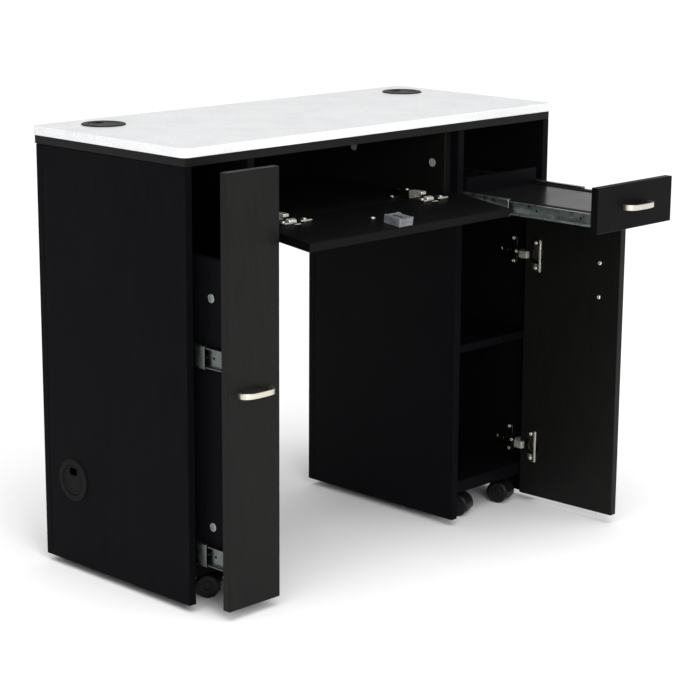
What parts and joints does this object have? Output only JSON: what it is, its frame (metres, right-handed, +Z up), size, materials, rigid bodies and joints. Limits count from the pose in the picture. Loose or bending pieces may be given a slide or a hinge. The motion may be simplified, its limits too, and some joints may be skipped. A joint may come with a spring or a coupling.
{
  "type": "manicure table",
  "caption": "Black manicure table on casters: white stone top, pull-out rack, drop-down flap, drawer over a hinged-door cupboard, cable grommets and a knee space.",
  "frame": {"origin": "on the floor, under the middle of the box around the table as it stands open", "axes": "+X to the table's right as the technician sits facing it from the fronts' side, along its length; +Y from the fronts to the back; +Z up"},
  "size_m": [0.913, 0.712, 0.7735],
  "materials": {
    "white_stone": "polished white engineered stone with fine grey and tan specks",
    "black_melamine": "black satin melamine-faced board",
    "charcoal_front": "black satin melamine-faced board, a shade lighter",
    "zinc_steel": "zinc-plated cold-rolled steel",
    "bright_nickel": "bright nickel plate",
    "satin_nickel": "satin nickel",
    "black_plastic": "satin black moulded plastic",
    "grey_plastic": "cloudy grey translucent plastic"
  },
  "bodies": {
    "carcass": {"stone_top": "white_stone", "sub_top": "black_melamine", "left_outer_side": "black_melamine", "left_inner_side": "black_melamine", "right_inner_side": "black_melamine", "right_outer_side": "black_melamine", "left_back": "black_melamine", "middle_back": "black_melamine", "right_back": "black_melamine", "left_bottom": "black_melamine", "right_bottom": "black_melamine", "middle_box": "black_melamine", "cupboard_shelf": "black_melamine", "left_grommet": "black_plastic", "right_grommet": "black_plastic", "side_cable_port": "black_plastic", "door_hinge_arm_lower": "bright_nickel", "door_hinge_arm_upper": "bright_nickel", "flap_hinge_arm_left": "bright_nickel", "flap_hinge_arm_right": "bright_nickel", "rack_slide_lower_outer": "zinc_steel", "rack_slide_upper_outer": "zinc_steel", "drawer_slide_left_outer": "zinc_steel", "drawer_slide_right_outer": "zinc_steel"},
    "rack": {"rack_front": "charcoal_front", "rack_tray": "black_melamine", "rack_handle": "satin_nickel", "rack_slide_lower_inner": "zinc_steel", "rack_slide_upper_inner": "zinc_steel"},
    "rack_slide_middles": {"rack_slide_lower_middle": "zinc_steel", "rack_slide_upper_middle": "zinc_steel"},
    "drawer": {"drawer_front": "charcoal_front", "drawer_frame": "black_melamine", "drawer_bottom": "black_melamine", "drawer_handle": "satin_nickel", "drawer_slide_left_inner": "zinc_steel", "drawer_slide_right_inner": "zinc_steel"},
    "drawer_slide_middles": {"drawer_slide_left_middle": "zinc_steel", "drawer_slide_right_middle": "zinc_steel"},
    "door": {"door": "charcoal_front", "door_handle": "satin_nickel", "door_hinge_cup_lower": "bright_nickel", "door_hinge_cup_upper": "bright_nickel"},
    "flap": {"flap": "charcoal_front", "flap_handle": "satin_nickel", "flap_catch": "grey_plastic", "flap_hinge_cup_left": "bright_nickel", "flap_hinge_cup_right": "bright_nickel"},
    "left_front_caster": {"left_front_caster_hood": "black_plastic"},
    "left_front_wheels": {"left_front_caster_wheels": "black_plastic"},
    "left_back_caster": {"left_back_caster_hood": "black_plastic"},
    "left_back_wheels": {"left_back_caster_wheels": "black_plastic"},
    "right_front_inner_caster": {"right_front_inner_caster_hood": "black_plastic"},
    "right_front_inner_wheels": {"right_front_inner_caster_wheels": "black_plastic"},
    "right_front_outer_caster": {"right_front_outer_caster_hood": "black_plastic"},
    "right_front_outer_wheels": {"right_front_outer_caster_wheels": "black_plastic"},
    "right_back_inner_caster": {"right_back_inner_caster_hood": "black_plastic"},
    "right_back_inner_wheels": {"right_back_inner_caster_wheels": "black_plastic"},
    "right_back_outer_caster": {"right_back_outer_caster_hood": "black_plastic"},
    "right_back_outer_wheels": {"right_back_outer_caster_wheels": "black_plastic"}
  },
  "joints": [
    {"name": "rack_slide", "type": "slide", "parent": "carcass", "child": "rack", "axis": [0, -1, 0], "range_m": [-0.077, 0.223]},
    {"name": "rack_middle_slide", "type": "slide", "parent": "carcass", "child": "rack_slide_middles", "axis": [0, -1, 0], "range_m": [-0.0385, 0.1115]},
    {"name": "drawer_slide", "type": "slide", "parent": "carcass", "child": "drawer", "axis": [0, -1, 0], "range_m": [-0.3, 0]},
    {"name": "drawer_middle_slide", "type": "slide", "parent": "carcass", "child": "drawer_slide_middles", "axis": [0, -1, 0], "range_m": [-0.12, 0]},
    {"name": "door_hinge", "type": "hinge", "parent": "carcass", "child": "door", "pos_m": [0.41984, -0.02574, 0.302], "axis": [0, 0, 1], "range_deg": [-92.2, 2.8]},
    {"name": "flap_hinge", "type": "hinge", "parent": "carcass", "child": "flap", "pos_m": [-0.05271, -0.03406, 0.61487], "axis": [1, 0, 0], "range_deg": [-96.2, 0]},
    {"name": "left_front_swivel", "type": "hinge", "parent": "carcass", "child": "left_front_caster", "pos_m": [-0.37646, 0.023, 0.0527], "axis": [0, 0, 1], "continuous": true},
    {"name": "left_front_roll", "type": "hinge", "parent": "left_front_caster", "child": "left_front_wheels", "pos_m": [-0.3681, 0.01304, 0.02], "axis": [0.766, 0.6428, 0], "continuous": true},
    {"name": "left_back_swivel", "type": "hinge", "parent": "carcass", "child": "left_back_caster", "pos_m": [-0.37646, 0.292, 0.0527], "axis": [0, 0, 1], "continuous": true},
    {"name": "left_back_roll", "type": "hinge", "parent": "left_back_caster", "child": "left_back_wheels", "pos_m": [-0.369, 0.28135, 0.02], "axis": [0.8192, 0.5736, 0], "continuous": true},
    {"name": "right_front_inner_swivel", "type": "hinge", "parent": "carcass", "child": "right_front_inner_caster", "pos_m": [0.26224, 0.023, 0.0527], "axis": [0, 0, 1], "continuous": true},
    {"name": "right_front_inner_roll", "type": "hinge", "parent": "right_front_inner_caster", "child": "right_front_inner_wheels", "pos_m": [0.26669, 0.01078, 0.02], "axis": [0.9397, 0.342, 0], "continuous": true},
    {"name": "right_front_outer_swivel", "type": "hinge", "parent": "carcass", "child": "right_front_outer_caster", "pos_m": [0.38224, 0.023, 0.0527], "axis": [0, 0, 1], "continuous": true},
    {"name": "right_front_outer_roll", "type": "hinge", "parent": "right_front_outer_caster", "child": "right_front_outer_wheels", "pos_m": [0.38561, 0.01044, 0.02], "axis": [0.9659, 0.2588, 0], "continuous": true},
    {"name": "right_back_inner_swivel", "type": "hinge", "parent": "carcass", "child": "right_back_inner_caster", "pos_m": [0.26224, 0.292, 0.0527], "axis": [0, 0, 1], "continuous": true},
    {"name": "right_back_inner_roll", "type": "hinge", "parent": "right_back_inner_caster", "child": "right_back_inner_wheels", "pos_m": [0.25675, 0.28022, 0.02], "axis": [0.9063, -0.4226, 0], "continuous": true},
    {"name": "right_back_outer_swivel", "type": "hinge", "parent": "carcass", "child": "right_back_outer_caster", "pos_m": [0.38224, 0.292, 0.0527], "axis": [0, 0, 1], "continuous": true},
    {"name": "right_back_outer_roll", "type": "hinge", "parent": "right_back_outer_caster", "child": "right_back_outer_wheels", "pos_m": [0.3845, 0.2792, 0.02], "axis": [0.9848, 0.1736, 0], "continuous": true}
  ],
  "couplings": [
    {"joint": "rack_middle_slide", "follows": "rack_slide", "ratio": 0.5},
    {"joint": "drawer_middle_slide", "follows": "drawer_slide", "ratio": 0.4}
  ]
}
